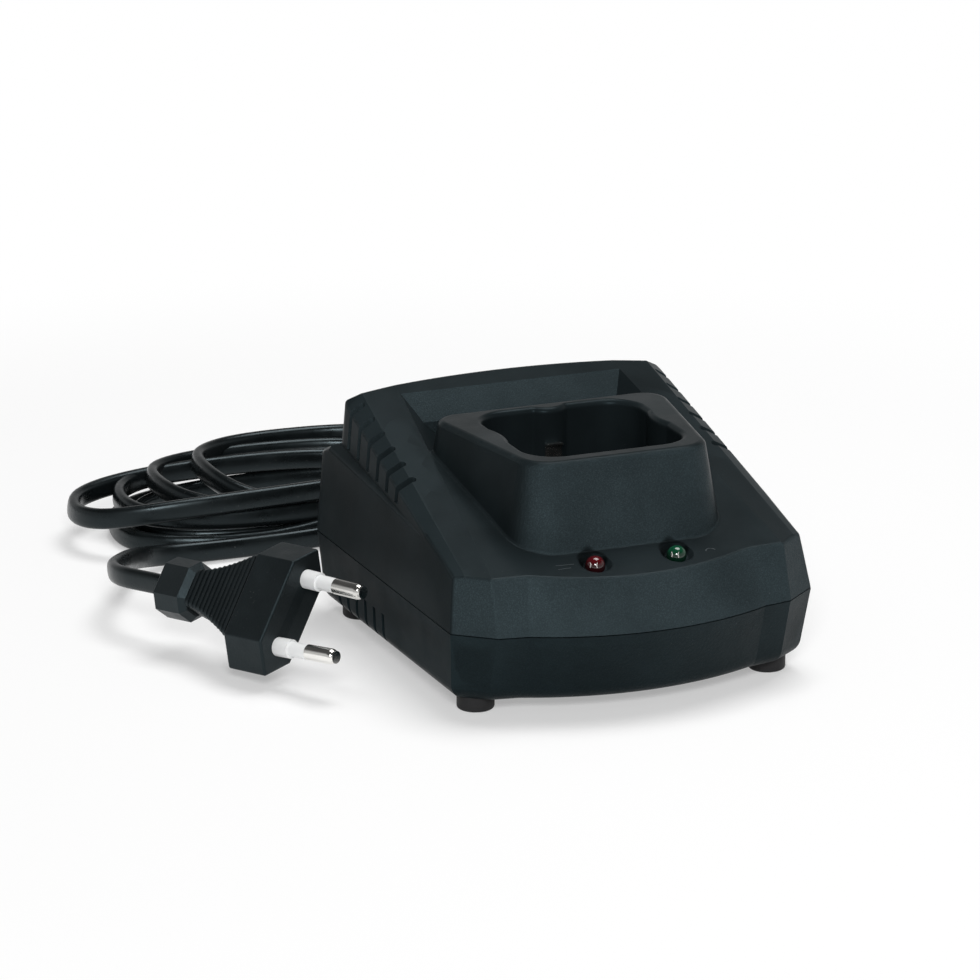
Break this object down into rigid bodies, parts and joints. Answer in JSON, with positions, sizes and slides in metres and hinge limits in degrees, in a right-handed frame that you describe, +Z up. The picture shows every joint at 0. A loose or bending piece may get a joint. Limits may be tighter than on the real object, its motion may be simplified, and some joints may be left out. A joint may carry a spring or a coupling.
{
  "type": "power tool battery charger",
  "caption": "Bench charger with a sloping deck, a raised socket tower for a pod battery, slotted sides, indicator lamps and a coiled mains lead with a flat two-pin plug",
  "frame": {"origin": "on the table under the middle of the case's footprint, at the bottom of the feet", "axes": "+X to the right seen from the front, +Y from the lamps towards the back wall, +Z up"},
  "size_m": [0.1521, 0.219, 0.0614],
  "materials": {
    "black_shell": "satin, fine moulded grain at the front",
    "black_base": "satin",
    "black_rubber": "matte",
    "zinc_steel": "zinc plated",
    "red_lens": "translucent, tinted",
    "green_lens": "translucent, tinted",
    "board_green": "solder mask",
    "ferrite": "sintered, matte",
    "yellow_tape": "wound tape",
    "black_component": "moulded resin",
    "white_component": "moulded resin",
    "can_sleeve": "shrink sleeve",
    "film_case": "moulded box",
    "fuse_glass": "clear",
    "aluminium_plate": "plain sheet",
    "contact_metal": "nickel plated",
    "cord_black": "smooth, soft gloss",
    "core_brown": "smooth",
    "core_blue": "smooth",
    "plug_black": "soft moulded",
    "pin_nickel": "nickel plated",
    "sleeve_white": "smooth"
  },
  "bodies": {
    "root": {"upper_shell": "black_shell", "lower_shell": "black_base", "rubber_foot_1": "black_rubber", "rubber_foot_2": "black_rubber", "rubber_foot_3": "black_rubber", "rubber_foot_4": "black_rubber", "case_screws": "zinc_steel", "lamp_red": "red_lens", "lamp_green": "green_lens", "lamp_board": "board_green", "lamp_board_screws": "zinc_steel", "circuit_board": "board_green", "board_screws": "zinc_steel", "transformer_core": "ferrite", "transformer_winding": "yellow_tape", "transformer_base": "black_component", "bulk_capacitor": "can_sleeve", "output_capacitors": "can_sleeve", "filter_capacitor": "film_case", "mains_choke": "ferrite", "fuse": "fuse_glass", "fuse_clips": "zinc_steel", "bridge_rectifier": "black_component", "heat_sink": "aluminium_plate", "power_transistor": "black_component", "control_chip": "black_component", "optocoupler": "white_component", "contact_block": "black_component", "contact_blades": "contact_metal", "contact_strip": "contact_metal", "cord_boot": "cord_black", "cord_inlet": "cord_black", "cord_tail": "cord_black", "cord_coil": "cord_black", "cord_lead": "cord_black", "mains_core_left": "core_brown", "mains_core_right": "core_blue", "plug_body": "plug_black", "plug_neck": "plug_black", "plug_strain_relief": "plug_black", "plug_pins": "pin_nickel", "plug_pin_sleeves": "sleeve_white"}
  },
  "joints": []
}
